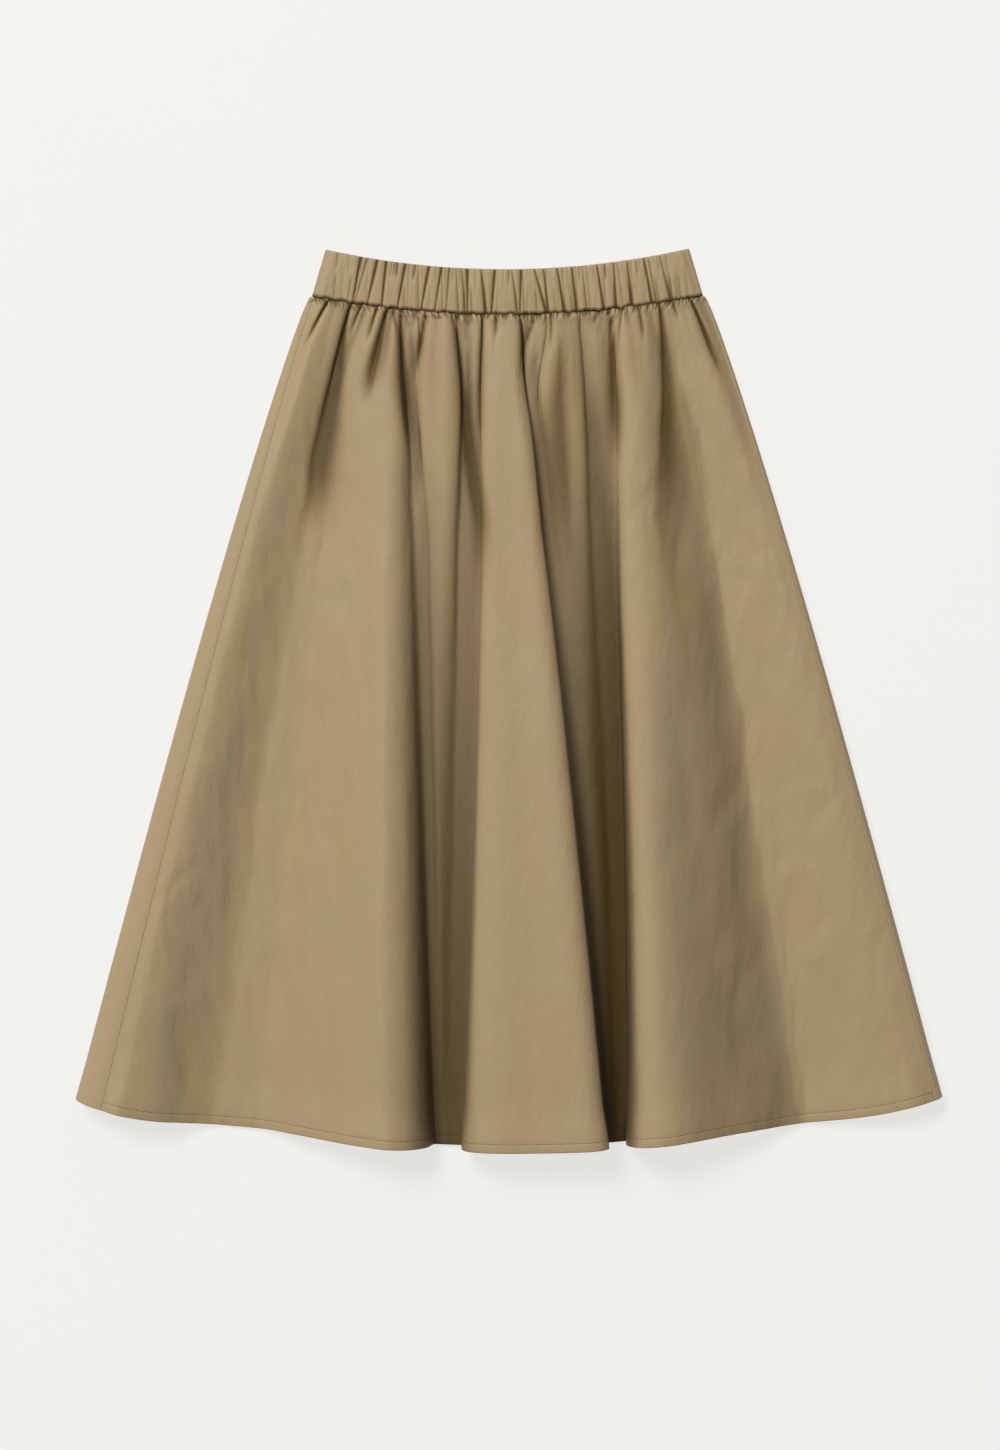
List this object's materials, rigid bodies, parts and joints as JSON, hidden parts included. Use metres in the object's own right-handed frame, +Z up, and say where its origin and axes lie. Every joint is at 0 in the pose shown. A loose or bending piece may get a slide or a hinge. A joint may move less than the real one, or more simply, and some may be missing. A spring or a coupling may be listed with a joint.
{
  "type": "leather skirt",
  "caption": "Flared midi skirt in plain tan leather with a ruched elastic waistband and standing flutes, laid flat on its back with the front up.",
  "frame": {"origin": "centre of the box round the skirt, on the surface that it lies on", "axes": "+X to the right as seen from above, +Y from the hem towards the waist, +Z up off the surface and out of the front"},
  "size_m": [0.758, 0.789, 0.0553],
  "materials": {
    "leather": "smooth matt nappa with fine creases",
    "band_leather": "the same nappa, ruched over elastic"
  },
  "bodies": {
    "root": {"front_panel": "leather", "back_panel": "leather", "waistband_front": "band_leather", "waistband_back": "band_leather"}
  },
  "joints": []
}
